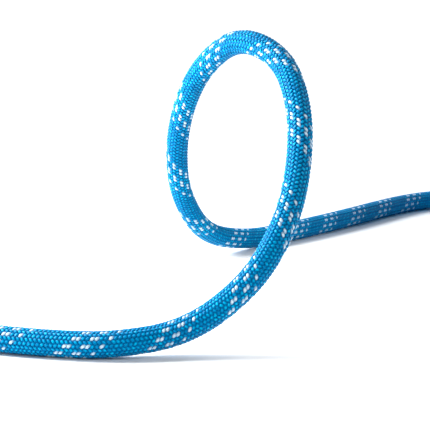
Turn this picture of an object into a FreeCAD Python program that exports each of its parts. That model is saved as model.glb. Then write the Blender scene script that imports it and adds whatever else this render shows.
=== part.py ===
"""Dynamic climbing rope, 10 mm, 30 m, with one stretch loosely looped and the rest wound in a round coil.

Kernmantle build: a braided sheath round a bundle of parallel core strands and one marker thread.
Frame: millimetres, +Z up, the rope lies on the plane Z = 0, origin at the bottom centre of the box.
"""

import FreeCAD, Part
import math
import os
import Sketcher
from FreeCAD import Placement, Rotation, Vector

doc = FreeCAD.newDocument("climbing_rope")

# ---------------------------------------------------------------- driving dimensions
DIMENSIONS = {
    # rope
    "rope_diameter": 10.0,
    "sheath_wall": 0.9,
    "strand_clearance": 0.04,
    # finished ends
    "sleeve_length": 28.0,
    "sleeve_wall": 0.4,
    "sleeve_clearance": 0.05,
    "tip_length": 4.0,
    "tip_rounding": 2.4,
    # coil of the stored length
    "coil_layers": 7,
    "coil_rows": 12,
    "inner_turn_radius": 30.0,
    "lead_out_gap": 0.57,
    # ties round the coil
    "tie_width": 10.0,
    "tie_thickness": 1.0,
    "first_tie_angle": 50.0,
    "laid_gap": 0.3,
}

sheet = doc.addObject("Spreadsheet::Sheet", "dims")
for row, (alias, value) in enumerate(DIMENSIONS.items(), start=1):
    sheet.set(f"A{row}", alias)
    sheet.set(f"B{row}", str(value))
    sheet.setAlias(f"B{row}", alias)
doc.recompute()


def size(alias):
    """A driving dimension, read back from the sheet."""
    return float(sheet.get(alias))


# Route of the loose stretch, from where it leaves the coil to its free end. The rope runs out of
# the coil's outermost turn, comes forward along the floor, stands up in one loop that crosses
# in front of itself, and ends on the floor. The points are the corners of straight runs.
LOOP_ROUTE = [
    (76, 169, 5), (49, 169, 5), (24, 156, 5), (7, 139, 5), (-8, 119, 5),
    (-24, 97, 5), (-41, 75, 5), (-59, 54, 5), (-78, 34, 5), (-99, 15, 11),
    (-110, -1, 32), (-112, -15, 55), (-108, -31, 78), (-99, -49, 97), (-84, -70, 110),
    (-67, -92, 103), (-61, -113, 85), (-62, -131, 64), (-68, -150, 45), (-81, -161, 25),
    (-104, -164, 8), (-131, -171, 5), (-156, -167, 5), (-184, -158, 5.5), (-210, -146, 5.5),
]

# Route of the other end, which lies on top of the coil: measured from the coil's axis, from the
# sealed tip inwards to where the rope drops into the innermost layer.
TUCKED_ROUTE = [(70, 17), (51, 42), (24, 53), (-4, 47), (-25, 29), (-31, 6)]

ARC_SHARE = 0.45  # of the shorter run on each side of a corner, taken up by its tangent arc


# ---------------------------------------------------------------- swept pieces
class Path:
    """Straight runs joined by tangent arcs, with a frame carried along without twist."""

    def __init__(self, corners):
        corners = [Vector(*corner) for corner in corners]
        self.radii = []
        self.stops = []  # (point, middle point or None) for each stretch, after the first point
        self.start = corners[0]
        for before, corner, after in zip(corners, corners[1:], corners[2:]):
            into, out = (corner - before), (after - corner)
            half_turn = into.getAngle(out) / 2
            reach = ARC_SHARE * min(into.Length, out.Length)
            into.normalize()
            out.normalize()
            radius = reach / math.tan(half_turn)
            inward = out - into
            inward.normalize()
            centre = corner + inward * (radius / math.cos(half_turn))
            self.radii.append(radius)
            self.stops.append((corner - into * reach, None))
            self.stops.append((corner + out * reach, centre - inward * radius))
        self.stops.append((corners[-1], None))
        self._carry_frames(corners)

    def _carry_frames(self, corners):
        """At every joint: the point, the tangent and a side vector that turns only with the arcs."""
        tangent = corners[1] - corners[0]
        tangent.normalize()
        side = tangent.cross(Vector(0, 0, 1))
        side.normalize()
        self.frames = [(self.start, tangent, side)]
        self.middles = []
        point = self.start
        for stop, middle in self.stops:
            if middle is None:
                self.middles.append(None)
            else:
                chord = stop - point
                turned = chord * (2 * chord.dot(tangent) / chord.dot(chord)) - tangent
                axis = tangent.cross(turned)
                angle = math.degrees(tangent.getAngle(turned))
                half = Rotation(axis, angle / 2)
                self.middles.append((middle, half.multVec(tangent), half.multVec(side)))
                whole = Rotation(axis, angle)
                tangent, side = whole.multVec(tangent), whole.multVec(side)
            point = stop
            self.frames.append((point, tangent, side))

    def edges(self, along_side=0.0, along_up=0.0):
        """The path's edges, moved sideways and upwards in the carried frame."""

        def moved(frame):
            point, tangent, side = frame
            return point + side * along_side + side.cross(tangent) * along_up

        made = []
        for k, middle in enumerate(self.middles):
            a, b = moved(self.frames[k]), moved(self.frames[k + 1])
            curve = Part.LineSegment(a, b) if middle is None else Part.Arc(a, moved(middle), b)
            made.append(curve.toShape())
        return made


def end_part(edges, length):
    """The last stretch of a row of edges, cut to a length."""
    kept = []
    for edge in reversed(edges):
        if edge.Length >= length:
            first = edge.getParameterByLength(edge.Length - length)
            kept.insert(0, edge.Curve.toShape(first, edge.LastParameter))
            return kept
        kept.insert(0, edge)
        length -= edge.Length
    return kept


def swept(edges, outer_radius, inner_radius=0.0):
    """A round bar or tube along tangent edges, checked against its section times its length."""
    wire = Part.Wire(edges)
    start = wire.Edges[0]
    point, tangent = start.valueAt(start.FirstParameter), start.tangentAt(start.FirstParameter)
    rims = [Part.Wire(Part.makeCircle(r, point, tangent)) for r in (outer_radius, inner_radius) if r]
    solid = wire.makePipeShell([rims[0]], True, False)
    if inner_radius:
        solid = solid.cut(wire.makePipeShell([rims[1]], True, False))
    if solid.ShapeType != "Solid":
        solid = solid.Solids[0]
    expected = math.pi * (outer_radius**2 - inner_radius**2) * wire.Length
    if abs(solid.Volume - expected) > 0.01 * expected:
        raise ValueError(f"a swept piece has volume {solid.Volume:.1f}, not {expected:.1f}")
    return solid


pieces = []


def add_shape(label, shape):
    """A piece whose shape comes from a sweep."""
    piece = doc.addObject("Part::Feature", label)
    piece.Label = label
    piece.Shape = shape
    piece.Placement = Placement()
    pieces.append(piece)
    return piece


rope_radius = size("rope_diameter") / 2
sheath_bore = rope_radius - size("sheath_wall")

# The rope leaves the coil's outermost turn straight, along -X, so the coil's axis lies one turn
# radius nearer than the route's first point, and as far aside as the rope needs to clear the ring.
outer_turn_radius = size("inner_turn_radius") + (size("coil_layers") - 1) * size("rope_diameter")
ring_radius = outer_turn_radius + rope_radius
lead_out = math.sqrt(ring_radius**2 - (outer_turn_radius - rope_radius) ** 2)
coil_centre = Vector(
    LOOP_ROUTE[0][0] + lead_out + size("lead_out_gap"), LOOP_ROUTE[0][1] - outer_turn_radius, 0
)
loop_path = Path(LOOP_ROUTE)
print("loop route, arc radii in mm:", [round(r) for r in loop_path.radii])

# ---------------------------------------------------------------- sheath
# The braided mantle, a tube round the core.
add_shape("sheath", swept(loop_path.edges(), rope_radius, sheath_bore))

# ---------------------------------------------------------------- core
# Three strands in the middle and nine round them, all parallel to the rope. The strands' size
# comes from the sheath's bore: nine round three need a bore of at least 4.03 strand radii.
BORE_OVER_STRAND = 4.143
MARKER_PLACE = 1.63  # from the rope's axis, in strand radii: the gap between two middle strands
MARKER_SIZE = 0.36  # of a strand's radius
strand_radius = (sheath_bore - size("strand_clearance")) / BORE_OVER_STRAND
outer_ring = sheath_bore - strand_radius - size("strand_clearance")
inner_ring = (strand_radius + size("strand_clearance") / 2) * 2 / math.sqrt(3)


def laid_along(label, ring, angle, radius):
    """A core piece, laid parallel to the rope at a place in its section."""
    across, up = ring * math.cos(math.radians(angle)), ring * math.sin(math.radians(angle))
    add_shape(label, swept(loop_path.edges(across, up), radius))


strand_places = [(inner_ring, 120.0 * k) for k in range(3)]
strand_places += [(outer_ring, 20.0 + 40.0 * k) for k in range(9)]
for number, (ring, angle) in enumerate(strand_places, start=1):
    laid_along(f"core_strand_{number:02d}", ring, angle, strand_radius)

# The coloured thread between the strands that tells the rope's year and type.
laid_along("marker_thread", MARKER_PLACE * strand_radius, 60.0, MARKER_SIZE * strand_radius)

# ---------------------------------------------------------------- coil
# The stored length: layers of turns side by side, as one ring with corners as round as the rope.
CORNER_SHARE = 0.96  # of the rope's radius, so that the rounded corners leave a flat between them
ORIGIN, START, END = -1, 1, 2  # a sketch's origin, and the two ends of a line
BOTTOM, OUTSIDE, TOP, BORE = 0, 1, 2, 3

coil = doc.addObject("PartDesign::Body", "coiled_rope")
coil.Label = "coiled_rope"
section = coil.newObject("Sketcher::SketchObject", "coil_section")
section.AttachmentSupport = [next(f for f in coil.Origin.OriginFeatures if f.Role == "XZ_Plane")]
section.MapMode = "FlatFace"
bore = size("inner_turn_radius") - rope_radius
width, height = (size(name) * size("rope_diameter") for name in ("coil_layers", "coil_rows"))
corners = [(bore, 0), (bore + width, 0), (bore + width, height), (bore, height)]
for k in range(4):
    section.addGeometry(Part.LineSegment(Vector(*corners[k], 0), Vector(*corners[(k + 1) % 4], 0)))
for k in range(4):
    section.addConstraint(Sketcher.Constraint("Coincident", k, END, (k + 1) % 4, START))
for line in (BOTTOM, TOP):
    section.addConstraint(Sketcher.Constraint("Horizontal", line))
for line in (OUTSIDE, BORE):
    section.addConstraint(Sketcher.Constraint("Vertical", line))


def section_size(name, kind, first, second, value, formula):
    """A named distance in the coil's section, bound to the sheet."""
    index = section.addConstraint(Sketcher.Constraint(kind, *first, *second, value))
    section.renameConstraint(index, name)
    section.setExpression(f"Constraints.{name}", formula)


section.addConstraint(Sketcher.Constraint("PointOnObject", BOTTOM, START, ORIGIN))
section_size("bore_radius", "DistanceX", (ORIGIN, START), (BOTTOM, START), bore,
             "dims.inner_turn_radius - dims.rope_diameter / 2")
section_size("ring_width", "DistanceX", (BOTTOM, START), (BOTTOM, END), width,
             "dims.coil_layers * dims.rope_diameter")
section_size("ring_height", "DistanceY", (OUTSIDE, START), (OUTSIDE, END), height,
             "dims.coil_rows * dims.rope_diameter")
ring = coil.newObject("PartDesign::Revolution", "coil_ring")
ring.Profile = section
ring.ReferenceAxis = (section, ["V_Axis"])
ring.Angle = 360.0
doc.recompute()
rims = [f"Edge{k}" for k, edge in enumerate(ring.Shape.Edges, start=1)
        if isinstance(edge.Curve, Part.Circle)]
rounding = coil.newObject("PartDesign::Fillet", "coil_rounding")
rounding.Base = (ring, rims)
rounding.setExpression("Radius", f"dims.rope_diameter / 2 * {CORNER_SHARE}")
coil.Placement.Base = coil_centre
coil.setExpression("Placement.Base.z", "dims.tie_thickness + dims.laid_gap")
pieces.append(coil)

# ---------------------------------------------------------------- tucked end
# The rope's other end lies on the coil's top, over one tie, and drops into the innermost layer.
coil_top = size("tie_thickness") + size("laid_gap") + size("coil_rows") * size("rope_diameter")
tie_top = coil_top + size("laid_gap") + size("tie_thickness")
tucked_height = tie_top + size("laid_gap") + rope_radius
tucked_corners = [
    (coil_centre.x + x, coil_centre.y + y, tucked_height) for x, y in reversed(TUCKED_ROUTE)
]
tucked_path = Path(tucked_corners)
print("tucked route, arc radii in mm:", [round(r) for r in tucked_path.radii])
add_shape("tucked_end", swept(tucked_path.edges(), rope_radius))

# ---------------------------------------------------------------- finished ends
# Each end is melted to a blunt tip and wears a shrunk sleeve, which is left blank.
sleeve_bore = rope_radius + size("sleeve_clearance")
for end, path in (("free_end", loop_path), ("tucked_end", tucked_path)):
    last = end_part(path.edges(), size("sleeve_length"))
    add_shape(f"{end}_sleeve", swept(last, sleeve_bore + size("sleeve_wall"), sleeve_bore))
    point, tangent, _ = path.frames[-1]
    blank = doc.addObject("Part::Cylinder", f"{end}_tip_blank")
    blank.setExpression("Radius", "dims.rope_diameter / 2")
    blank.setExpression("Height", "dims.tip_length")
    doc.recompute()
    far_rim = max(
        (k for k, edge in enumerate(blank.Shape.Edges, start=1)
         if isinstance(edge.Curve, Part.Circle)),
        key=lambda k: blank.Shape.Edges[k - 1].CenterOfMass.z,
    )
    tip = doc.addObject("Part::Fillet", f"{end}_tip")
    tip.Label = f"{end}_tip"
    tip.Base = blank
    tip.Edges = [(far_rim, size("tip_rounding"), size("tip_rounding"))]
    tip.Placement = Placement(point, Rotation(Vector(0, 0, 1), tangent))
    pieces.append(tip)

# ---------------------------------------------------------------- ties
# Three flat tape ties, each a closed band round the coil's bundle of turns. The band's inner leg
# is flat and the bore is round, so the leg stands clear of the bore at the band's two edges.
TIE_COUNT = 3
BORE_RADIUS = "(dims.inner_turn_radius - dims.rope_diameter / 2)"
BORE_SIDE = f"(sqrt({BORE_RADIUS}^2 - (dims.tie_width / 2)^2) - dims.laid_gap)"
OUTSIDE_LEG = f"({BORE_RADIUS} + dims.coil_layers * dims.rope_diameter + dims.laid_gap)"
BAND_HEIGHT = "(dims.coil_rows * dims.rope_diameter + 2 * dims.laid_gap)"


def tie_block(name, wall, width_times):
    """A block round the bundle's section, with so many walls of tape outside the clear space."""
    block = doc.addObject("Part::Box", name)
    block.setExpression("Length", f"{OUTSIDE_LEG} - {BORE_SIDE} + {2 * wall} * dims.tie_thickness")
    block.setExpression("Height", f"{BAND_HEIGHT} + {2 * wall} * dims.tie_thickness")
    block.setExpression("Width", f"{width_times} * dims.tie_width")
    block.setExpression("Placement.Base.x", f"{BORE_SIDE} - {wall} * dims.tie_thickness")
    block.setExpression("Placement.Base.y", f"-{width_times} * dims.tie_width / 2")
    block.setExpression("Placement.Base.z", f"{1 - wall} * dims.tie_thickness")
    return block


for number in range(1, TIE_COUNT + 1):
    tie = doc.addObject("Part::Cut", f"coil_tie_{number}")
    tie.Label = f"coil_tie_{number}"
    tie.Base = tie_block(f"tie_{number}_outside", 1, 1)
    tie.Tool = tie_block(f"tie_{number}_inside", 0, 2)
    turned = size("first_tie_angle") + 360.0 / TIE_COUNT * (number - 1)
    tie.Placement = Placement(coil_centre, Rotation(Vector(0, 0, 1), turned))
    pieces.append(tie)

# ---------------------------------------------------------------- check and write
doc.recompute()
for made in doc.Objects:
    if {"Invalid", "Error"} & set(made.State):
        raise ValueError(f"{made.Label} is {made.State}")
for piece in pieces:
    if piece.Shape.isNull() or not piece.Shape.isValid() or len(piece.Shape.Solids) != 1:
        raise ValueError(f"{piece.Label} has no valid single solid")

box = FreeCAD.BoundBox()
os.makedirs("parts", exist_ok=True)
for piece in pieces:
    piece.Shape.exportStep(f"parts/{piece.Label}.step")
    box.add(piece.Shape.BoundBox)
print(f"{len(pieces)} pieces, box x {box.XMin:.1f} {box.XMax:.1f}, y {box.YMin:.1f} {box.YMax:.1f},"
      f" z {box.ZMin:.2f} {box.ZMax:.1f}, centre {box.Center.x:.2f} {box.Center.y:.2f}")
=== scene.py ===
"""Dynamic climbing rope, 10 mm: a loose stretch in one standing loop, the stored length in a round coil."""

import math
from functools import partial

import bmesh
import bpy
import numpy as np
from mathutils import Matrix, Vector


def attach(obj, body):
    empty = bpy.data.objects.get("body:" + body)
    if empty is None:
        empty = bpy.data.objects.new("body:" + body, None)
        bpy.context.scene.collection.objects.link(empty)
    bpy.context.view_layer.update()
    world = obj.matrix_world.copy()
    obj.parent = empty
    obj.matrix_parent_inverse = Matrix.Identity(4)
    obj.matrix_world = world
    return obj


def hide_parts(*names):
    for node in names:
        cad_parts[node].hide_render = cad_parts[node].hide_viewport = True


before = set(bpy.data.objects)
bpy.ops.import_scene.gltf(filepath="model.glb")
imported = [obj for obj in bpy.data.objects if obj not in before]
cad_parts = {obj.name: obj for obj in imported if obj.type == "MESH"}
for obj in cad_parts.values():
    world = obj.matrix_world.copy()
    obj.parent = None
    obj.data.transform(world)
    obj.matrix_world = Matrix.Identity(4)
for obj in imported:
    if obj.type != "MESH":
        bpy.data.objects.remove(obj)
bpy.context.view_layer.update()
scene = bpy.context.scene

# ---------------------------------------------------------------- camera
# Not part of the rope. A long lens looks at the loop from about 0.6 m in front of it, a hand's height
# above the table and tilted down a little.
LENS_MM = 125.58
SENSOR_MM = 36.0
NEAREST_SEEN = 0.05
CAMERA_PLACE = (-0.094, -0.692, 0.1415)
CAMERA_TILT = 80.3  # degrees up from straight down

camera_data = bpy.data.cameras.new("camera")
camera_data.lens = LENS_MM
camera_data.sensor_width = SENSOR_MM
camera_data.clip_start = NEAREST_SEEN
camera = bpy.data.objects.new("camera", camera_data)
camera.location = CAMERA_PLACE
camera.rotation_euler = (math.radians(CAMERA_TILT), 0.0, 0.0)
scene.collection.objects.link(camera)
scene.camera = camera

# ---------------------------------------------------------------- the rope's line
# Thirty metres of 10 mm rope. One end lies on top of the coil, the stored length is wound in seven
# layers of turns, and the outermost turn runs out along the floor, up into one standing loop that
# crosses in front of itself, and down to the free end.
MM = 0.001
ROPE_DIAMETER = 10.0
ROPE_RADIUS = ROPE_DIAMETER / 2
COIL_CENTRE = (118.996, 79.0)
INNER_TURN = 30.0
LAYERS = 7
TOP_TURN, BOTTOM_TURN = 116.3, 6.3
TIE_ANGLES = (50.0, 170.0, 290.0)
# Angles round the coil: where the rope drops into the innermost layer, reaches that layer's top turn
# and leaves the outermost one.
DROP_IN_ANGLE, TOP_ANGLE, LEAD_OUT_ANGLE = 169.0, 292.0, 90.0
TURNS = 77
STEP_OUT_TURNS = 0.6  # the rope takes this much of a turn to step out to the next layer
LAST_DROP = 40.0  # degrees in which the last turn comes down to the floor
OUTER_SLACK, INNER_SLACK, SAG = 0.3, 0.15, 1.1  # how far turns stray and sag midway between two ties
POINTS_PER_TURN = 20
# A quadratic spline runs this much inside a ring of its own control points.
SPLINE_SHRINK = 0.75 + 0.25 * math.cos(2 * math.pi / POINTS_PER_TURN)

# From (-24, 97, 5) to (-62, -131, 64) these points came out of a least-squares fit, rounded to whole
# millimetres. The others were moved from it, or placed, one by one.
loose_route = [
    (76, 169, 5), (49, 169, 5), (24, 156, 5), (7, 139, 5), (-8, 119, 5),
    (-24, 97, 5), (-41, 75, 5), (-59, 54, 5), (-78, 34, 5), (-99, 15, 11),
    (-110, -1, 32), (-112, -15, 55), (-108, -31, 78), (-99, -49, 97), (-84, -70, 110),
    (-67, -92, 103), (-61, -113, 85), (-62, -131, 64), (-68, -150, 45), (-81, -161, 25),
    (-104, -164, 8), (-131, -171, 5), (-156, -167, 5), (-184, -158, 5.5), (-210, -146, 5.5),
]
# The tucked end, from its tip inwards, measured from the coil's axis.
tucked_route = [
    (70, 17, 127.0), (51, 42, 127.9), (24, 53, 127.3), (-4, 47, 127.3), (-25, 29, 127.9), (-31, 6, 127.6),
]


def between_ties(angle):
    """0 at a tie and 1 midway between two ties."""
    return math.sin(math.radians((angle - TIE_ANGLES[0]) * 1.5)) ** 2


def eased(x):
    """0 up to 0, 1 from 1 on, and smooth between."""
    x = min(max(x, 0.0), 1.0)
    return x * x * (3 - 2 * x)


last_angle = LEAD_OUT_ANGLE + 360 * TURNS
layer_angle = (last_angle - TOP_ANGLE) / LAYERS


def turn_height(angle, along):
    """The stored rope goes down and up once for each two layers; along counts the layers."""
    if along < 0:
        dropped = eased((angle - DROP_IN_ANGLE) / (TOP_ANGLE - DROP_IN_ANGLE))
        return TOP_TURN + (tucked_route[-1][2] - TOP_TURN) * (1 - dropped)
    layer = min(int(along), LAYERS - 1)
    share = along - layer
    down = share if layer % 2 == 0 else 1 - share
    return TOP_TURN + (BOTTOM_TURN - TOP_TURN) * down


def stored_turn(angle):
    """A point of the stored rope at an angle round the coil, which grows through all the turns."""
    along = (angle - TOP_ANGLE) / layer_angle
    layer = min(max(int(along), 0), LAYERS - 1)
    change = round(along)
    turns_from_change = (along - change) * layer_angle / 360
    step_out = eased(turns_from_change / STEP_OUT_TURNS + 0.5) if 0 < change < LAYERS else 0
    stepping = 0 < change < LAYERS and abs(turns_from_change) < STEP_OUT_TURNS / 2
    radius = INNER_TURN + ROPE_DIAMETER * (change - 1 + step_out if stepping else layer)
    slack = between_ties(angle)
    unevenness = math.sin(angle * 0.0211) + 0.8 * math.sin(angle * 0.0097 + 1.3)
    outermost = layer == LAYERS - 1 and step_out == 0
    radius += slack * (OUTER_SLACK * abs(unevenness) if outermost else INNER_SLACK * unevenness)
    height = turn_height(angle, along) - (SAG * slack if along >= 0 else 0)
    height -= (BOTTOM_TURN - ROPE_RADIUS) * eased((angle - last_angle + LAST_DROP) / LAST_DROP) * (1 - slack)
    x = COIL_CENTRE[0] + radius / SPLINE_SHRINK * math.cos(math.radians(angle))
    y = COIL_CENTRE[1] + radius / SPLINE_SHRINK * math.sin(math.radians(angle))
    return x, y, max(height, ROPE_RADIUS)


steps = round((last_angle - DROP_IN_ANGLE) / 360 * POINTS_PER_TURN)
coil_points = [stored_turn(DROP_IN_ANGLE + (last_angle - DROP_IN_ANGLE) * k / steps) for k in range(1, steps)]
line_points = [(COIL_CENTRE[0] + x, COIL_CENTRE[1] + y, z) for x, y, z in tucked_route]
line_points += coil_points + loose_route

rope_curve = bpy.data.curves.new("rope_line", "CURVE")
rope_curve.dimensions = "3D"
rope_curve.resolution_u = 24
spline = rope_curve.splines.new("NURBS")
spline.points.add(len(line_points) - 1)
for point, (x, y, z) in zip(spline.points, line_points):
    point.co = (x * MM, y * MM, z * MM, 1.0)
spline.order_u = 3
spline.use_endpoint_u = True
rope_line = bpy.data.objects.new("rope_line", rope_curve)
scene.collection.objects.link(rope_line)
read_back = bpy.data.meshes.new_from_object(rope_line)
flat = np.zeros(len(read_back.vertices) * 3)
read_back.vertices.foreach_get("co", flat)
line = flat.reshape(-1, 3)[::-1] / MM  # from the free end to the tucked end, in millimetres
bpy.data.objects.remove(rope_line)
moved_on = np.linalg.norm(np.diff(line, axis=0), axis=1)
line = line[np.concatenate(([True], moved_on > 1e-6))]
line_run = np.concatenate(([0.0], np.cumsum(np.linalg.norm(np.diff(line, axis=0), axis=1))))
line_end = line_run[-1]

# A tangent and two cross vectors at every point of the line, carried along without twist. The
# first one starts level with the floor at the free end.
line_tangent = np.gradient(line, line_run, axis=0)
line_tangent /= np.linalg.norm(line_tangent, axis=1)[:, None]
line_side = np.zeros_like(line)
side = Vector((0, 0, 1)).cross(Vector(line_tangent[0])).normalized()
for k, tangent in enumerate(line_tangent.tolist()):
    tangent = Vector(tangent)
    side = (side - tangent * side.dot(tangent)).normalized()
    line_side[k] = side
line_up = np.cross(line_tangent, line_side)
bend = np.gradient(line_tangent, line_run, axis=0)  # in 1/mm, towards the bend's centre


def on_line(values, run):
    """Something known along the line, read at any distance from the free end."""
    return np.stack([np.interp(run, line_run, values[:, k]) for k in range(3)], axis=-1)


def laid(run, turn, reach, ahead=0.0):
    """Places beside the line: distance along it, turns round it, reach from it and a step ahead."""
    past = run - np.clip(run, 0.0, line_end)
    tangent = on_line(line_tangent, run)
    angle = 2 * math.pi * turn
    out = np.cos(angle)[:, None] * on_line(line_side, run) + np.sin(angle)[:, None] * on_line(line_up, run)
    stretch = 1 - np.sum(out * on_line(bend, run), axis=1) * reach
    return (on_line(line, run) + tangent * (past + ahead * stretch)[:, None] + out * reach[:, None]) * MM


# ---------------------------------------------------------------- rope body
# The core with the mantle drawn tight over it, one round body along the whole line. Along the loose
# stretch it is the thinner bed that the yarns lie on.
YARNS = 20  # of each hand
FLOATS = 10  # of each hand round the rope
FIRST_FLOAT = 0.0375  # where the first column of floats lies, in turns
# A yarn's lead, the mm of rope in which it goes once round, at distances from the free end: drawn
# out over the top of the loop, pushed together where the rope comes back to the floor. FIRST_LEAD
# and all these lengths but the last came out of a least-squares fit, and weren't chosen by hand.
LEAD_PLACES = (0, 110, 150, 190, 240, 310, 370, 430, 480, 530, 640, 700)
LEAD_LENGTHS = (34.5, 31.1, 28.7, 40.9, 37.4, 38.1, 36.1, 21.8, 24.0, 28.4, 28.6, 33.4)
FIRST_LEAD = -2.47
BED_RADIUS = 4.3
BODY_SIDES = 20
LOOSE_STEP, TURN_RINGS = 2.5, 48  # mm from ring to ring in the loose stretch, and rings in a turn
LOOSE_MOST = 900.0  # the loose stretch is shorter than this
WELD = 1e-6  # metres within which points are joined

outer_turn = INNER_TURN + (LAYERS - 1) * ROPE_DIAMETER
leaving = (COIL_CENTRE[0], COIL_CENTRE[1] + outer_turn, ROPE_RADIUS)
exit_run = line_run[np.argmin(np.linalg.norm(line[line_run < LOOSE_MOST] - leaving, axis=1))]
cover_end = exit_run + math.radians(LEAD_OUT_ANGLE - TIE_ANGLES[0]) * outer_turn  # under the first tie
lead_length = np.interp(line_run, LEAD_PLACES, LEAD_LENGTHS)
line_leads = FIRST_LEAD + np.concatenate(([0.0], np.cumsum(np.diff(line_run) / lead_length[1:])))


def leads(run):
    """How many leads of braid lie before a place on the line."""
    return np.interp(run, line_run, line_leads)


def values_of(data, name, width):
    """An attribute of all of a mesh's vertices, corners or UVs, a row for each."""
    values = np.zeros(len(data) * width)
    data.foreach_get(name, values)
    return values.reshape(-1, width)


def flat_grids(columns, rows, tubes=1):
    """Flat unit grids with UVs, two units apart, one for each tube."""
    bm = bmesh.new()
    bm.loops.layers.uv.new("braid")
    for k in range(tubes):
        bmesh.ops.create_grid(bm, x_segments=columns, y_segments=rows, size=0.5,
                              matrix=Matrix.Translation((0, 2 * k, 0)), calc_uvs=True)
    mesh = bpy.data.meshes.new("tube")
    bm.to_mesh(mesh)
    bm.free()
    return mesh


def faced_outwards(mesh, weld=False, capped=False):
    """Turns a mesh's faces outwards and smooths them, first joining its seams and closing its ends."""
    bm = bmesh.new()
    bm.from_mesh(mesh)
    if weld:
        bmesh.ops.remove_doubles(bm, verts=bm.verts, dist=WELD)
    if capped:
        bmesh.ops.holes_fill(bm, edges=[e for e in bm.edges if e.is_boundary], sides=0)
    bmesh.ops.recalc_face_normals(bm, faces=bm.faces)
    for face in bm.faces:
        face.smooth = True
    bm.to_mesh(mesh)
    bm.free()


def set_places(mesh, places):
    mesh.vertices.foreach_set("co", np.ascontiguousarray(places).ravel())


def linked(name, mesh, material):
    """A piece of that name, in the scene."""
    mesh.name = name
    mesh.materials.append(material)
    piece = bpy.data.objects.new(name, mesh)
    scene.collection.objects.link(piece)
    return piece


from_axis = np.hypot(line[:, 0] - COIL_CENTRE[0], line[:, 1] - COIL_CENTRE[1])
ring_step = np.where(line_run < cover_end, LOOSE_STEP, from_axis * 2 * math.pi / TURN_RINGS)
ring_count = np.concatenate(([0.0], np.cumsum(np.diff(line_run) / ring_step[1:])))
rings = int(ring_count[-1])
body_mesh = flat_grids(rings, BODY_SIDES)
flat_places = values_of(body_mesh.vertices, "co", 3)
body_run = np.interp((flat_places[:, 0] + 0.5) * ring_count[-1], ring_count, line_run)
covered = np.clip((cover_end - body_run) / LOOSE_STEP + 0.5, 0, 1)
body_reach = ROPE_RADIUS + (BED_RADIUS - ROPE_RADIUS) * covered
body_places = laid(body_run, flat_places[:, 1], body_reach)
body_uv = values_of(body_mesh.uv_layers[0].uv, "vector", 2)
uv_run = np.interp(body_uv[:, 0] * ring_count[-1], ring_count, line_run)
body_uv = np.stack([leads(uv_run), body_uv[:, 1] - 0.5], axis=-1)
body_mesh.uv_layers[0].uv.foreach_set("vector", body_uv.ravel())
set_places(body_mesh, body_places)
faced_outwards(body_mesh, weld=True, capped=True)


def value_node(tree, operation, *inputs):
    """A Math node with its inputs, each a number or another node's output."""
    node = tree.nodes.new("ShaderNodeMath")
    node.operation = operation
    for socket, given in zip(node.inputs, inputs):
        if isinstance(given, bpy.types.NodeSocket):
            tree.links.new(given, socket)
        else:
            socket.default_value = given
    return node.outputs[0]


def new_group(name, inputs, outputs):
    """A node group with named sockets, and its input and output nodes."""
    group = bpy.data.node_groups.new(name, "ShaderNodeTree")
    for label, kind, value in inputs:
        socket = group.interface.new_socket(label, in_out="INPUT", socket_type=kind)
        if value is not None:
            socket.default_value = value
    for label, kind in outputs:
        group.interface.new_socket(label, in_out="OUTPUT", socket_type=kind)
    return group, group.nodes.new("NodeGroupInput"), group.nodes.new("NodeGroupOutput")


def placed_group(tree, group, **given):
    """A group placed in a material, with its own values."""
    node = tree.nodes.new("ShaderNodeGroup")
    node.node_tree = group
    for label, value in given.items():
        socket = node.inputs[label.replace("_", " ").capitalize()]
        if isinstance(value, bpy.types.NodeSocket):
            tree.links.new(value, socket)
        else:
            socket.default_value = value
    return node


def colour_mix(tree, factor, first, second):
    """The first colour where the factor is 0, the second where it is 1."""
    node = tree.nodes.new("ShaderNodeMix")
    node.data_type = "RGBA"
    for socket, given in ((node.inputs[0], factor), (node.inputs[6], first), (node.inputs[7], second)):
        if isinstance(given, bpy.types.NodeSocket):
            tree.links.new(given, socket)
        elif socket is node.inputs[0]:
            socket.default_value = given
        else:
            socket.default_value = (*given, 1.0)
    return node.outputs[2]


def noise(tree, scale, detail, place=None):
    """Soft noise, on a flat place if one is given and otherwise on the piece's own coordinates."""
    node = tree.nodes.new("ShaderNodeTexNoise")
    node.inputs["Scale"].default_value = scale
    node.inputs["Detail"].default_value = detail
    if place is None:
        place = tree.nodes.new("ShaderNodeTexCoord").outputs["Object"]
    else:
        node.noise_dimensions = "2D"
    tree.links.new(place, node.inputs["Vector"])
    return node


# Fine filaments along a yarn: X runs along it, and one unit of Y is one yarn across.
FILAMENT_DRIFT, YARN_PATCHES = 9.0, 2.3  # scales of the filaments' wander and of the yarn's paler places
FILAMENT_WOBBLE = 1.4
filaments, given, result = new_group(
    "filaments",
    [("Place", "NodeSocketVector", None), ("Count", "NodeSocketFloat", 9.0),
     ("Slant", "NodeSocketFloat", 6.0)],
    [("Height", "NodeSocketFloat"), ("Shade", "NodeSocketFloat")],
)
value = partial(value_node, filaments)
split = filaments.nodes.new("ShaderNodeSeparateXYZ")
filaments.links.new(given.outputs["Place"], split.inputs[0])
drift = noise(filaments, FILAMENT_DRIFT, 1.0, given.outputs["Place"])
slanted = value("MULTIPLY", split.outputs[0], given.outputs["Slant"])
strand = value("MULTIPLY", value("ADD", split.outputs[1], slanted), given.outputs["Count"])
wobbling = value("ADD", strand, value("MULTIPLY", drift.outputs[0], FILAMENT_WOBBLE))
wave = value("SINE", value("MULTIPLY", wobbling, 2 * math.pi))
filaments.links.new(value("MULTIPLY_ADD", wave, 0.5, 0.5), result.inputs["Height"])
patch = noise(filaments, YARN_PATCHES, 2.0, given.outputs["Place"])
filaments.links.new(patch.outputs[0], result.inputs["Shade"])
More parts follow.
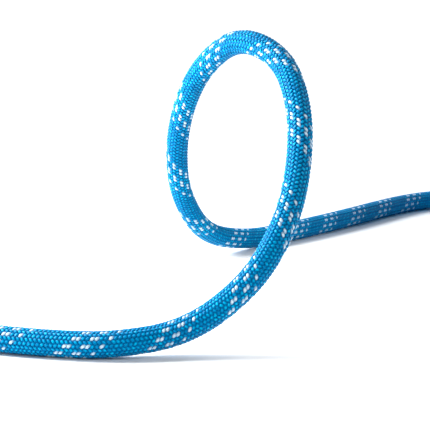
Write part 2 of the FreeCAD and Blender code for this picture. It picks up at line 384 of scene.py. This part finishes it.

# A yarn's colour from painted shade in the valley it dives into, over its side, to a painted highlight on its
# crest.
yarn_painted_shading, given, result = new_group(
    "yarn_painted_shading",
    [("Shade", "NodeSocketFloat", None), ("Height", "NodeSocketFloat", None),
     ("Valley", "NodeSocketColor", None), ("Side", "NodeSocketColor", None),
     ("Crest", "NodeSocketColor", None)],
    [("Tint", "NodeSocketColor")],
)
value = partial(value_node, yarn_painted_shading)
lifted = value("MULTIPLY_ADD", given.outputs["Shade"], 0.5, given.outputs["Height"])
up_side = value("MULTIPLY_ADD", lifted, 1.4, -0.545)
up_crest = value("MULTIPLY_ADD", lifted, 7.0, -7.73)
flank = colour_mix(yarn_painted_shading, up_side, given.outputs["Valley"], given.outputs["Side"])
yarn_painted_shading.links.new(colour_mix(yarn_painted_shading, up_crest, flank, given.outputs["Crest"]), result.inputs["Tint"])

# The braid, from leads along X and turns along Y.
CROSSING = 1.6  # how sharply one hand's yarns take over from the other's
WHITE_GROUP, WHITE_PAIR = 8.5, 1.5  # the first nine left-hand yarns, and two of each four among them
braid, given, result = new_group(
    "braid",
    [("Place", "NodeSocketVector", None)],
    [("Height", "NodeSocketFloat"), ("White", "NodeSocketFloat"), ("Yarn", "NodeSocketVector")],
)
value = partial(value_node, braid)
split = braid.nodes.new("ShaderNodeSeparateXYZ")
braid.links.new(given.outputs["Place"], split.inputs[0])
lead_at, turn_at = split.outputs[0], split.outputs[1]
right_hand = value("MULTIPLY", value("SUBTRACT", turn_at, lead_at), float(YARNS))
left_hand = value("MULTIPLY", value("ADD", turn_at, lead_at), float(YARNS))
phase = value("MULTIPLY", value("SUBTRACT", turn_at, FIRST_FLOAT), 2 * math.pi * FLOATS)
rise = value("TANH", value("MULTIPLY", value("COSINE", phase), CROSSING))


def crown(hand, level):
    """How high one hand's yarns stand: a round section times the share of the wave."""
    across = value("SUBTRACT", value("FRACT", hand), 0.5)
    section = value("SUBTRACT", 1.0, value("MULTIPLY", value("MULTIPLY", across, across), 3.6))
    return value("MULTIPLY", section, value("MULTIPLY_ADD", rise, 0.5 * level, 0.55))


right_height, left_height = crown(right_hand, 1.0), crown(left_hand, -1.0)
braid.links.new(value("MAXIMUM", right_height, left_height), result.inputs["Height"])
left_on_top = value("GREATER_THAN", left_height, right_height)
number = value("FLOORED_MODULO", value("FLOOR", left_hand), float(YARNS))
in_pair = value("LESS_THAN", value("FLOORED_MODULO", number, 4.0), WHITE_PAIR)
in_group = value("LESS_THAN", number, WHITE_GROUP)
white = value("MULTIPLY", value("MULTIPLY", in_pair, in_group), left_on_top)
braid.links.new(white, result.inputs["White"])
across = value("MULTIPLY_ADD", value("SUBTRACT", left_hand, right_hand), left_on_top, right_hand)
joined = braid.nodes.new("ShaderNodeCombineXYZ")
braid.links.new(lead_at, joined.inputs[0])
braid.links.new(across, joined.inputs[1])
braid.links.new(joined.outputs[0], result.inputs["Yarn"])


def new_material(name):
    """A material, its node tree and its shader."""
    material = bpy.data.materials.new(name)
    material.use_nodes = True
    shader = material.node_tree.nodes["Principled BSDF"]
    return material, material.node_tree, shader


def uv_place(tree):
    """The piece's own UV map."""
    node = tree.nodes.new("ShaderNodeUVMap")
    node.uv_map = "braid"
    return node.outputs[0]


def bumped(tree, shader, height, distance):
    """Relief on a shader's surface, that many metres deep."""
    node = tree.nodes.new("ShaderNodeBump")
    node.inputs["Strength"].default_value = 1.0
    node.inputs["Distance"].default_value = distance
    tree.links.new(height, node.inputs["Height"])
    tree.links.new(node.outputs[0], shader.inputs["Normal"])


# A blue yarn's valley, side and crest, with painted shade in the valley and a painted highlight on the crest,
# then an undyed white one's, whose valley and side are painted shade tinted by blue light thrown back from
# the blue yarns, and the blue ones' sheen.
SHADED_AND_LIT_BLUES = ((0.000, 0.050, 0.175), (0.000, 0.190, 0.450), (0.000, 0.415, 0.700))
SHADED_AND_LIT_WHITES = ((0.12, 0.33, 0.54), (0.46, 0.65, 0.81), (0.70, 0.86, 0.96))
BLUE_SHEEN = (0.01, 0.80, 1.00)


def shaded_and_lit(tree, colours, shade, height):
    """A yarn's colour, from its valley's painted shade, its side's colour and its crest's painted highlight.
    """
    valley, side, crest = ((*colour, 1.0) for colour in colours)
    return placed_group(tree, yarn_painted_shading, shade=shade, height=height, valley=valley, side=side,
                        crest=crest).outputs[0]


def glossy_blue(shader):
    """The blue yarns' gloss, which is bluer than plain plastic's."""
    shader.inputs["Specular Tint"].default_value = (*BLUE_SHEEN, 1.0)
    shader.inputs["Specular IOR Level"].default_value = 0.7
    shader.inputs["IOR"].default_value = 1.22


braided, tree, shader = new_material("braided_polyamide")
pattern = placed_group(tree, braid, place=uv_place(tree))
fine = placed_group(tree, filaments, place=pattern.outputs["Yarn"])
height = pattern.outputs["Height"]
# The braid's relief height gives painted shade in its valleys and a painted highlight on its crests, on blue
# and white yarns alike.
blue, white = (shaded_and_lit(tree, colours, fine.outputs["Shade"], height) for colours in (SHADED_AND_LIT_BLUES, SHADED_AND_LIT_WHITES))
tree.links.new(colour_mix(tree, pattern.outputs["White"], blue, white), shader.inputs["Base Color"])
tree.links.new(value_node(tree, "MULTIPLY_ADD", fine.outputs["Height"], 0.12, 0.4),
               shader.inputs["Roughness"])
bumped(tree, shader, value_node(tree, "MULTIPLY_ADD", fine.outputs["Height"], 0.05, height), 0.0009)
glossy_blue(shader)

rope_body = linked("rope_body", body_mesh, braided)
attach(rope_body, "root")
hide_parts("sheath", "marker_thread", "coiled_rope", "tucked_end",
            *[f"core_strand_{k:02d}" for k in range(1, 13)])

# ---------------------------------------------------------------- mantle yarns
# The braid's forty yarns along the loose stretch, each a flattened bundle of filaments that goes
# over two and under two of the other hand. Five of the left-hand yarns are white.
WHITE_YARNS = (0, 1, 4, 5, 8)
CREST_WIDTH, DIVE_WIDTH = 1.32, 0.95
YARN_THICKNESS = 0.62
MIDDLE_REACH, CREST_RISE, DIVE = 4.30, 0.39, 0.3
VALLEY_REACH, VALLEY_DEPTH = 4.2, 0.8  # where the painted shade of a yarn's valley ends, and how far its crest, with its painted highlight, is above
BLUE_STEEPNESS, WHITE_STEEPNESS = 1.35, 1.9  # how late a yarn comes up out of its valley
WHITE_FULLNESS = 0.93
YARN_SIDES = 8
YARN_RINGS_A_LEAD = 80
YARN_START = 6.0  # mm from the free end, inside its sleeve
YARN_APART = 3.0  # between two yarns' patterns, in yarns


def yarn_material(name, colours):
    """Polyamide yarn: painted shade where it dives and a painted highlight on its crest, with the fine
    filaments it is laid up from.
    """
    material, tree, shader = new_material(name)
    fine = placed_group(tree, filaments, place=uv_place(tree), count=10.0, slant=8.0)
    height = tree.nodes.new("ShaderNodeAttribute")
    height.attribute_name = "crest"
    tint = shaded_and_lit(tree, colours, fine.outputs["Shade"], height.outputs["Fac"])
    tree.links.new(tint, shader.inputs["Base Color"])
    tree.links.new(value_node(tree, "MULTIPLY_ADD", fine.outputs["Height"], 0.15, 0.3),
                   shader.inputs["Roughness"])
    bumped(tree, shader, fine.outputs["Height"], 0.00004)
    return material, shader


blue_yarn, shader = yarn_material("blue_polyamide_yarn", SHADED_AND_LIT_BLUES)
glossy_blue(shader)
white_yarn, shader = yarn_material("white_polyamide_yarn", SHADED_AND_LIT_WHITES)


def yarn_piece(name, hand, numbers, material, fullness=1.0, steepness=BLUE_STEEPNESS):
    """Some yarns of one hand, which is 1 for right and -1 for left, as closed flattened tubes."""
    first, last = leads(np.array([YARN_START, cover_end]))
    columns = round((last - first) * YARN_RINGS_A_LEAD)
    mesh = flat_grids(columns, YARN_SIDES, len(numbers))
    flat_places = values_of(mesh.vertices, "co", 3)
    yarn = np.round(flat_places[:, 1] / 2).astype(int)
    section = 2 * math.pi * (flat_places[:, 1] - 2 * yarn)
    lead_at = first + (flat_places[:, 0] + 0.5) * (last - first)
    run = np.interp(lead_at, line_leads, line_run)
    turn = (np.array(numbers)[yarn] + 0.5) / YARNS + hand * lead_at
    level = hand * np.cos(2 * math.pi * FLOATS * (turn - FIRST_FLOAT))
    over = np.clip(level, 0, 1) ** steepness
    over *= 1.2 - 0.2 * over
    middle = MIDDLE_REACH + CREST_RISE * over + DIVE * np.clip(level, -1, 0)
    slope = np.arctan(2 * math.pi * MIDDLE_REACH / np.interp(run, line_run, lead_length))
    across = fullness * (DIVE_WIDTH + (CREST_WIDTH - DIVE_WIDTH) * over) / 2 * np.cos(section)
    reach = middle + YARN_THICKNESS / 2 * np.sin(section)
    turn_aside = across * np.cos(slope) / (2 * math.pi * middle)
    places = laid(run, turn + turn_aside, reach, -hand * across * np.sin(slope))
    # How high each point of the yarn stands, which sets painted shade low in its valley and a painted
    # highlight on its crest.
    crest = mesh.attributes.new("crest", "FLOAT", "POINT")
    crest.data.foreach_set("value", np.clip((reach - VALLEY_REACH) / VALLEY_DEPTH, 0, 1))
    uv = values_of(mesh.uv_layers[0].uv, "vector", 2)
    corner_yarn = yarn[values_of(mesh.loops, "vertex_index", 1).astype(int)[:, 0]]
    uv = np.stack([uv[:, 0] * (last - first), uv[:, 1] + YARN_APART * corner_yarn], axis=-1)
    mesh.uv_layers[0].uv.foreach_set("vector", uv.ravel())
    set_places(mesh, places)
    faced_outwards(mesh, weld=True, capped=True)
    piece = linked(name, mesh, material)
    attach(piece, "root")
    return piece


left_blue = [k for k in range(YARNS) if k not in WHITE_YARNS]
yarns = [yarn_piece("white_yarns", -1, WHITE_YARNS, white_yarn, WHITE_FULLNESS, WHITE_STEEPNESS)]
yarns += [yarn_piece(f"left_hand_yarns_{k + 1}", -1, left_blue[5 * k:5 * k + 5], blue_yarn) for k in range(3)]
yarns += [yarn_piece(f"right_hand_yarns_{k + 1}", 1, range(5 * k, 5 * k + 5), blue_yarn) for k in range(4)]

# ---------------------------------------------------------------- shrunk sleeves
# A blank heat-shrunk sleeve grips the last 28 mm of each end. It is thin dark polyolefin, drawn down
# on the braid so that the yarns print through it faintly, and its two rims turn in.
SLEEVE_LENGTH = 28.0
SLEEVE_REACH = 5.36
SLEEVE_WALL = 0.34
PRINTED_YARNS = 0.035  # how high the yarns print through
RIM_DROP, RIM_LENGTH, RIM_EDGE = 0.14, 0.5, 0.12
SLEEVE_RINGS, SLEEVE_SIDES = 84, 80
SLEEVE_BLACK = (0.008, 0.009, 0.011)
SLEEVE_GREY = (0.022, 0.023, 0.027)

shrunk, tree, shader = new_material("shrunk_polyolefin")
under = placed_group(tree, braid, place=uv_place(tree))
scuff = noise(tree, 420.0, 3.0).outputs[0]
tree.links.new(colour_mix(tree, scuff, SLEEVE_BLACK, SLEEVE_GREY), shader.inputs["Base Color"])
tree.links.new(value_node(tree, "MULTIPLY_ADD", scuff, 0.25, 0.36), shader.inputs["Roughness"])
shader.inputs["Specular IOR Level"].default_value = 0.3
bumped(tree, shader, value_node(tree, "MULTIPLY_ADD", scuff, 0.15, under.outputs["Height"]), 0.00006)


def walled(piece, wall, offset, edge, angle):
    """Gives an open surface its wall's thickness, and the wall's edges a small radius, in millimetres."""
    thickness = piece.modifiers.new("wall", "SOLIDIFY")
    thickness.thickness = wall * MM
    thickness.offset = offset
    rounding = piece.modifiers.new("edge", "BEVEL")
    rounding.width = edge * MM
    rounding.segments = 2
    rounding.limit_method = "ANGLE"
    rounding.angle_limit = math.radians(angle)


def shrunk_sleeve(name, node, first, last):
    """A sleeve from one place on the rope's line to another."""
    mesh = flat_grids(SLEEVE_RINGS, SLEEVE_SIDES)
    flat_places = values_of(mesh.vertices, "co", 3)
    share, turn = flat_places[:, 0] + 0.5, flat_places[:, 1]
    run = first + share * (last - first)
    from_rim = np.minimum(share, 1 - share) * SLEEVE_LENGTH
    right, left = (np.cos(2 * math.pi * YARNS * (turn + hand * leads(run))) for hand in (-1, 1))
    reach = SLEEVE_REACH + PRINTED_YARNS * right * left - RIM_DROP * np.exp(-((from_rim / RIM_LENGTH) ** 2))
    set_places(mesh, laid(run, turn, reach))
    uv = values_of(mesh.uv_layers[0].uv, "vector", 2)
    uv = np.stack([leads(first + uv[:, 0] * (last - first)), uv[:, 1] - 0.5], axis=-1)
    mesh.uv_layers[0].uv.foreach_set("vector", uv.ravel())
    faced_outwards(mesh, weld=True)
    sleeve = linked(name, mesh, shrunk)
    walled(sleeve, SLEEVE_WALL, -1.0, RIM_EDGE, 60.0)
    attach(sleeve, "root")
    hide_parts(node)
    return sleeve


sleeves = [
    shrunk_sleeve("free_end_shrunk_sleeve", "free_end_sleeve", 0.0, SLEEVE_LENGTH),
    shrunk_sleeve("tucked_end_shrunk_sleeve", "tucked_end_sleeve", line_end - SLEEVE_LENGTH, line_end),
]

# ---------------------------------------------------------------- melted tips
# Each end is cut hot, so core and mantle run together into one blunt, glassy, slightly lumpy cap:
# pale where the core was, blue round the rim and a little browned at its edge.
# The cap's outline: how far inwards from the rope's end, and how far from its line.
TIP_PROFILE = [(1.5, 0.0), (1.5, 4.8), (0.0, 4.95), (-0.7, 5.02), (-1.7, 4.98), (-2.6, 4.70), (-3.3, 4.05),
               (-3.8, 3.00), (-3.86, 1.9), (-3.62, 0.9), (-3.52, 0.0)]
TIP_REACH, TIP_SIDES = 5.1, 40
END_LUMPS, SIDE_LUMPS = 0.07, 0.09  # how uneven the cap is, along the rope and across it
CORE_WHITE = (0.62, 0.66, 0.64)
MELTED_BLUE = (0.004, 0.120, 0.300)
BROWNED = (0.100, 0.085, 0.070)

melted, tree, shader = new_material("melted_polyamide")
radial = tree.nodes.new("ShaderNodeAttribute")
radial.attribute_name = "from_axis"
swirl = noise(tree, 300.0, 4.0)
swirl.inputs["Distortion"].default_value = 1.2
zone = tree.nodes.new("ShaderNodeValToRGB")
stops = zone.color_ramp.elements
stops[0].position, stops[0].color = 0.52, (*CORE_WHITE, 1.0)
stops[1].position, stops[1].color = 0.95, (*MELTED_BLUE, 1.0)
stops.new(0.74).color = (*BROWNED, 1.0)
uneven = value_node(tree, "MULTIPLY_ADD", swirl.outputs[0], 0.34, radial.outputs["Fac"])
tree.links.new(value_node(tree, "SUBTRACT", uneven, 0.17), zone.inputs[0])
tree.links.new(zone.outputs[0], shader.inputs["Base Color"])
tree.links.new(value_node(tree, "MULTIPLY_ADD", swirl.outputs[0], 0.3, 0.12), shader.inputs["Roughness"])
shader.inputs["Coat Weight"].default_value = 0.1
bumped(tree, shader, swirl.outputs[0], 0.00025)


def melted_tip(name, node, end, outwards):
    """A cap turned round the rope's line; outwards is -1 at the line's start and 1 at its end."""
    bm = bmesh.new()
    profile = [bm.verts.new((x, reach, 0)) for x, reach in TIP_PROFILE]
    edges = [bm.edges.new(pair) for pair in zip(profile, profile[1:])]
    bmesh.ops.spin(bm, geom=profile + edges, cent=(0, 0, 0), axis=(1, 0, 0), angle=2 * math.pi,
                   steps=TIP_SIDES, use_merge=True)
    bmesh.ops.remove_doubles(bm, verts=bm.verts, dist=1e-4)
    mesh = bpy.data.meshes.new(name)
    bm.to_mesh(mesh)
    bm.free()
    inwards, across, up = values_of(mesh.vertices, "co", 3).T
    reach = np.hypot(across, up)
    turn = np.arctan2(up, across) / (2 * math.pi)
    lumps = np.sin(6 * math.pi * turn + 1.1) + 0.7 * np.sin(10 * math.pi * turn + 2.0 * inwards)
    bulge = np.clip(-inwards / 4, 0, 1) * np.clip(reach / 3, 0, 1)
    mesh.attributes.new("from_axis", "FLOAT", "POINT").data.foreach_set("value", reach / TIP_REACH)
    run = end - outwards * (inwards + END_LUMPS * bulge * lumps)
    set_places(mesh, laid(run, turn, reach - SIDE_LUMPS * bulge * (1 + lumps / 2)))
    faced_outwards(mesh)
    tip = linked(name, mesh, melted)
    rounded = tip.modifiers.new("rounded", "SUBSURF")
    rounded.levels = rounded.render_levels = 1
    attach(tip, "root")
    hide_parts(node)
    return tip


tips = [
    melted_tip("free_end_melted_tip", "free_end_tip", 0.0, -1),
    melted_tip("tucked_end_melted_tip", "tucked_end_tip", line_end, 1),
]

# ---------------------------------------------------------------- coil ties
# Three flat woven tapes hold the coil's turns together. Each is one strap, taken once round the
# bundle, lapped over its own start on the outside and sewn down with two bar tacks.
TAPE_WIDTH, TAPE_THICKNESS, TAPE_EDGE = 10.0, 0.96, 0.3
TAPE_INSIDE, TAPE_OUTSIDE = 23.69, 95.8  # its middle surface, from the coil's axis
TAPE_BOTTOM, TAPE_TOP = 0.5, 122.1
TAPE_CORNER = 5.5
LAP_START, LAP_LENGTH, LAP_STEP, LAP_RISE = 46.0, 28.0, 1.02, 4.0
TAPE_COLUMNS, TAPE_ROWS = 300, 6
WARP_SPACING, WEFT_SPACING = 0.9, 1.3
TRACER_WIDTH = 0.9
CHARCOAL = (0.016, 0.017, 0.020)
SLATE = (0.042, 0.045, 0.052)
TRACER = (0.36, 0.40, 0.44)
TACKS = (8.0, 20.0)  # from the lap's start
STITCHES, STITCH_SPACING, STITCH_LEAN = 15, 0.5, 0.125
STITCH_SIZE = (0.16, 0.2, 1.25)  # half its thickness, width and length
THREAD_SHADED, THREAD_LIT = (0.30, 0.33, 0.36), (0.52, 0.56, 0.60)

woven, tree, shader = new_material("woven_tape")
value = partial(value_node, tree)
split = tree.nodes.new("ShaderNodeSeparateXYZ")
tree.links.new(uv_place(tree), split.inputs[0])
along_tape, across_tape = split.outputs[0], split.outputs[1]
warp = value("SINE", value("MULTIPLY", across_tape, 2 * math.pi / WARP_SPACING))
warp_end = value("FLOOR", value("MULTIPLY", across_tape, 2 / WARP_SPACING))
weft_phase = value("MULTIPLY", warp_end, math.pi)
weft = value("SINE", value("MULTIPLY_ADD", along_tape, 2 * math.pi / WEFT_SPACING, weft_phase))
weave = value("MULTIPLY_ADD", value("ABSOLUTE", warp), 0.6, value("MULTIPLY", weft, 0.4))
tracer = value("LESS_THAN", value("ABSOLUTE", across_tape), TRACER_WIDTH / 2)
lint = noise(tree, 700.0, 2.0).outputs[0]
# Darker in the weave's dips and paler on its raised threads, which is painted shade and painted highlight,
# mixed with lint at random.
weave_shade_and_lint = colour_mix(tree, value("MULTIPLY_ADD", weave, 0.5, lint), CHARCOAL, SLATE)
tree.links.new(colour_mix(tree, tracer, weave_shade_and_lint, TRACER), shader.inputs["Base Color"])
tree.links.new(value("MULTIPLY_ADD", lint, 0.25, 0.55), shader.inputs["Roughness"])
shader.inputs["Sheen Weight"].default_value = 0.1
bumped(tree, shader, weave, 0.00016)

thread, tree, shader = new_material("sewing_thread")
plies = tree.nodes.new("ShaderNodeTexWave")
plies.bands_direction = "DIAGONAL"
plies.inputs["Scale"].default_value = 900.0
plies.inputs["Distortion"].default_value = 0.6
tree.links.new(tree.nodes.new("ShaderNodeTexCoord").outputs["Object"], plies.inputs["Vector"])
tree.links.new(colour_mix(tree, plies.outputs["Fac"], THREAD_SHADED, THREAD_LIT), shader.inputs["Base Color"])
shader.inputs["Roughness"].default_value = 0.5
bumped(tree, shader, plies.outputs["Fac"], 0.00005)


def tape_path():
    """The tape's middle surface in the coil's section: out from the axis and up, and the length."""
    inner, outer = TAPE_INSIDE + TAPE_CORNER, TAPE_OUTSIDE - TAPE_CORNER
    bottom, top = TAPE_BOTTOM + TAPE_CORNER, TAPE_TOP - TAPE_CORNER
    stations = [(TAPE_OUTSIDE, LAP_START)]
    for quarters, (out, up) in enumerate([(outer, top), (inner, top), (inner, bottom), (outer, bottom)]):
        angles = np.linspace(0, math.pi / 2, 9) + quarters * math.pi / 2
        stations += [(out + TAPE_CORNER * math.cos(a), up + TAPE_CORNER * math.sin(a)) for a in angles]
    stations += [(TAPE_OUTSIDE, LAP_START), (TAPE_OUTSIDE, LAP_START + LAP_LENGTH)]
    stations = np.array(stations)
    length = np.concatenate(([0.0], np.cumsum(np.linalg.norm(np.diff(stations, axis=0), axis=1))))
    return stations, length


def round_the_coil(out, up, aside, angle):
    """Places in the coil's section, turned to a tie's angle."""
    a = math.radians(angle)
    return np.stack([COIL_CENTRE[0] + out * math.cos(a) - aside * math.sin(a),
                     COIL_CENTRE[1] + out * math.sin(a) + aside * math.cos(a), up], axis=-1) * MM


def tie_tape(number, angle):
    """One tape, taken once round the coil's turns and over its own start."""
    stations, station_length = tape_path()
    mesh = flat_grids(TAPE_COLUMNS, TAPE_ROWS)
    flat_places = values_of(mesh.vertices, "co", 3)
    length = (flat_places[:, 0] + 0.5) * station_length[-1]
    out, up = (np.interp(length, station_length, stations[:, k]) for k in range(2))
    lapped = np.clip((length - station_length[-1] + LAP_LENGTH + LAP_RISE) / LAP_RISE, 0, 1)
    out = out + LAP_STEP * lapped * lapped * (3 - 2 * lapped)
    set_places(mesh, round_the_coil(out, up, flat_places[:, 1] * TAPE_WIDTH, angle))
    uv = values_of(mesh.uv_layers[0].uv, "vector", 2)
    uv = np.stack([uv[:, 0] * station_length[-1], (uv[:, 1] - 0.5) * TAPE_WIDTH], axis=-1)
    mesh.uv_layers[0].uv.foreach_set("vector", uv.ravel())
    mesh.shade_smooth()
    tape = linked(f"coil_tie_tape_{number}", mesh, woven)
    walled(tape, TAPE_THICKNESS, 0.0, TAPE_EDGE, 50.0)
    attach(tape, "root")
    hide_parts(f"coil_tie_{number}")
    return tape


def tie_stitching(number, angle):
    """Two bar tacks across the lap, each a row of stitches that lean to and fro."""
    bm = bmesh.new()
    for tack in TACKS:
        for k in range(STITCHES):
            place = (0, (k - STITCHES // 2) * STITCH_SPACING, LAP_START + tack)
            lean = STITCH_LEAN if k % 2 else -STITCH_LEAN
            stitch = (Matrix.Translation(place) @ Matrix.Rotation(lean, 4, "X")
                      @ Matrix.Diagonal((*STITCH_SIZE, 1.0)))
            bmesh.ops.create_uvsphere(bm, u_segments=8, v_segments=6, radius=1.0, matrix=stitch)
    mesh = bpy.data.meshes.new("stitching")
    bm.to_mesh(mesh)
    bm.free()
    sewn = values_of(mesh.vertices, "co", 3)
    surface = TAPE_OUTSIDE + LAP_STEP + TAPE_THICKNESS / 2
    set_places(mesh, round_the_coil(surface + sewn[:, 0], sewn[:, 2], sewn[:, 1], angle))
    mesh.shade_smooth()
    stitching = linked(f"coil_tie_stitching_{number}", mesh, thread)
    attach(stitching, "root")
    return stitching


ties = []
for number, angle in enumerate(TIE_ANGLES, start=1):
    ties += [tie_tape(number, angle), tie_stitching(number, angle)]

# ---------------------------------------------------------------- floor and light
# Not part of the rope. A plain pale table top, so large that its edge is out of sight, under soft
# studio light: four large distant softboxes, a small near one on the left, and a little from all round.
FLOOR_REACH = 12.0
FLOOR_WHITE, FLOOR_PALE = (0.94, 0.945, 0.95), (0.975, 0.975, 0.97)
AROUND, AROUND_STRENGTH = (0.97, 0.98, 1.0, 1.0), 0.15
SUN_SPREAD = 45.0

pale, tree, shader = new_material("pale_table")
mottle = noise(tree, 6.0, 4.0).outputs[0]
tree.links.new(colour_mix(tree, mottle, FLOOR_WHITE, FLOOR_PALE), shader.inputs["Base Color"])
tree.links.new(value_node(tree, "MULTIPLY_ADD", mottle, 0.1, 0.85), shader.inputs["Roughness"])
bm = bmesh.new()
bmesh.ops.create_grid(bm, x_segments=1, y_segments=1, size=FLOOR_REACH)
floor_mesh = bpy.data.meshes.new("floor")
bm.to_mesh(floor_mesh)
bm.free()
floor = linked("floor", floor_mesh, pale)

world = bpy.data.worlds.new("studio")
world.use_nodes = True
studio = world.node_tree
around = studio.nodes["Background"]
around.inputs["Color"].default_value = AROUND
around.inputs["Strength"].default_value = AROUND_STRENGTH
backdrop = studio.nodes.new("ShaderNodeBackground")
backdrop.inputs["Color"].default_value = (1.0, 1.0, 1.0, 1.0)
seen = studio.nodes.new("ShaderNodeLightPath")
either = studio.nodes.new("ShaderNodeMixShader")
studio.links.new(seen.outputs["Is Camera Ray"], either.inputs[0])
studio.links.new(around.outputs[0], either.inputs[1])
studio.links.new(backdrop.outputs[0], either.inputs[2])
studio.links.new(either.outputs[0], studio.nodes["World Output"].inputs["Surface"])
scene.world = world
scene.view_settings.view_transform = "Standard"


def sun(name, direction, strength):
    """Light of one strength everywhere, as from a large distant softbox."""
    data = bpy.data.lights.new(name, "SUN")
    data.angle = math.radians(SUN_SPREAD)
    data.energy = strength
    light = bpy.data.objects.new(name, data)
    light.rotation_euler = Vector(direction).to_track_quat("Z", "Y").to_euler()
    scene.collection.objects.link(light)


def softbox(name, place, aim, size, power):
    """A round softbox close by, so that what stands near it is lit the most."""
    data = bpy.data.lights.new(name, "AREA")
    data.shape = "DISK"
    data.size = size
    data.energy = power
    light = bpy.data.objects.new(name, data)
    light.location = place
    light.rotation_euler = (Vector(aim) - Vector(place)).to_track_quat("-Z", "Y").to_euler()
    light.visible_camera = False
    scene.collection.objects.link(light)


sun("back_left", (-0.7, 0.5, 0.6), 3.6)
sun("front_left", (-0.8, -0.5, 0.3), 0.75)
sun("back_right", (0.6, 0.6, 0.5), 0.8)
sun("front_right", (0.7, -0.5, 0.6), 1.15)
softbox("left_softbox", place=(-0.40, -0.10, 0.20), aim=(-0.085, -0.065, 0.108), size=0.15, power=2.7)
